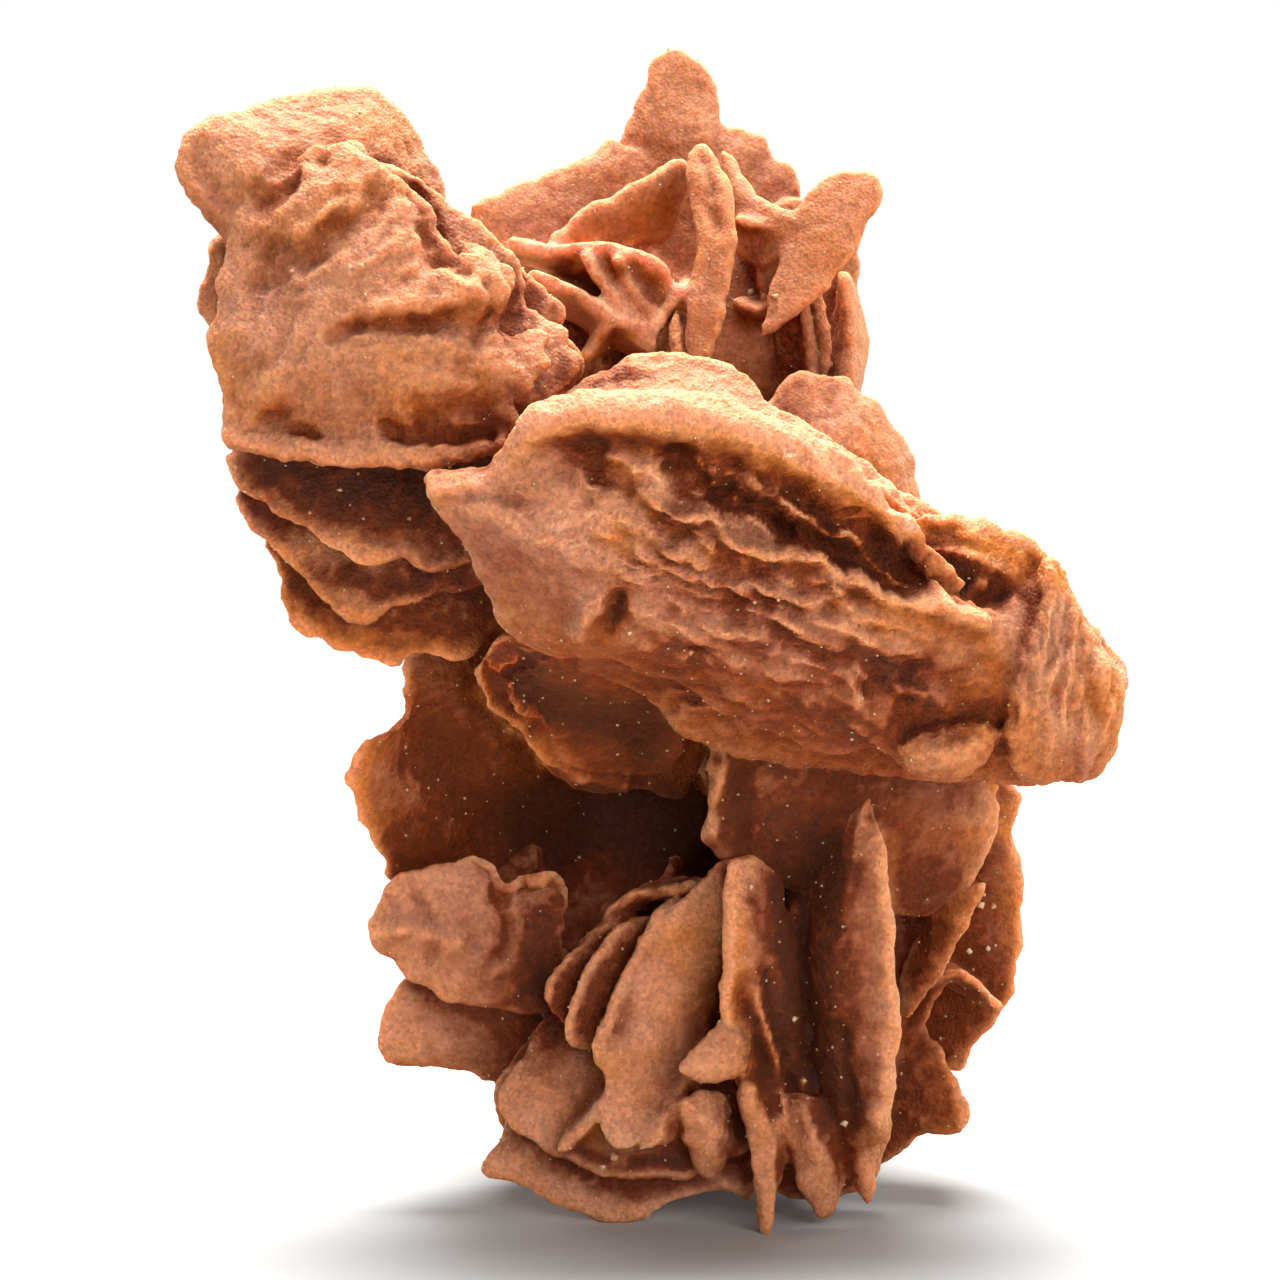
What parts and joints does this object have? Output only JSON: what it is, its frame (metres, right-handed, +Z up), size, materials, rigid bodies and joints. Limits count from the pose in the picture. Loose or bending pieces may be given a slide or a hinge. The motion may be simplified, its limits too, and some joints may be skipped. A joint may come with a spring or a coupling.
{
  "type": "gypsum crystal cluster",
  "caption": "Sandy gypsum rose: lens-shaped blades grown through one another, with a layered tower, an overhanging slab and two rosettes. It rests on its lower blades.",
  "frame": {"origin": "on the ground below the middle of the piece's box", "axes": "+Z up as it rests, -Y towards the front, where the slab overhangs, +X to the right as seen from the front"},
  "size_m": [0.0548, 0.0506, 0.0706],
  "materials": {
    "sandy_gypsum": "rough orange-brown gypsum full of fine sand, with paler worn rims and reddish-brown hollows"
  },
  "bodies": {
    "root": {"gypsum_rose": "sandy_gypsum"}
  },
  "joints": []
}
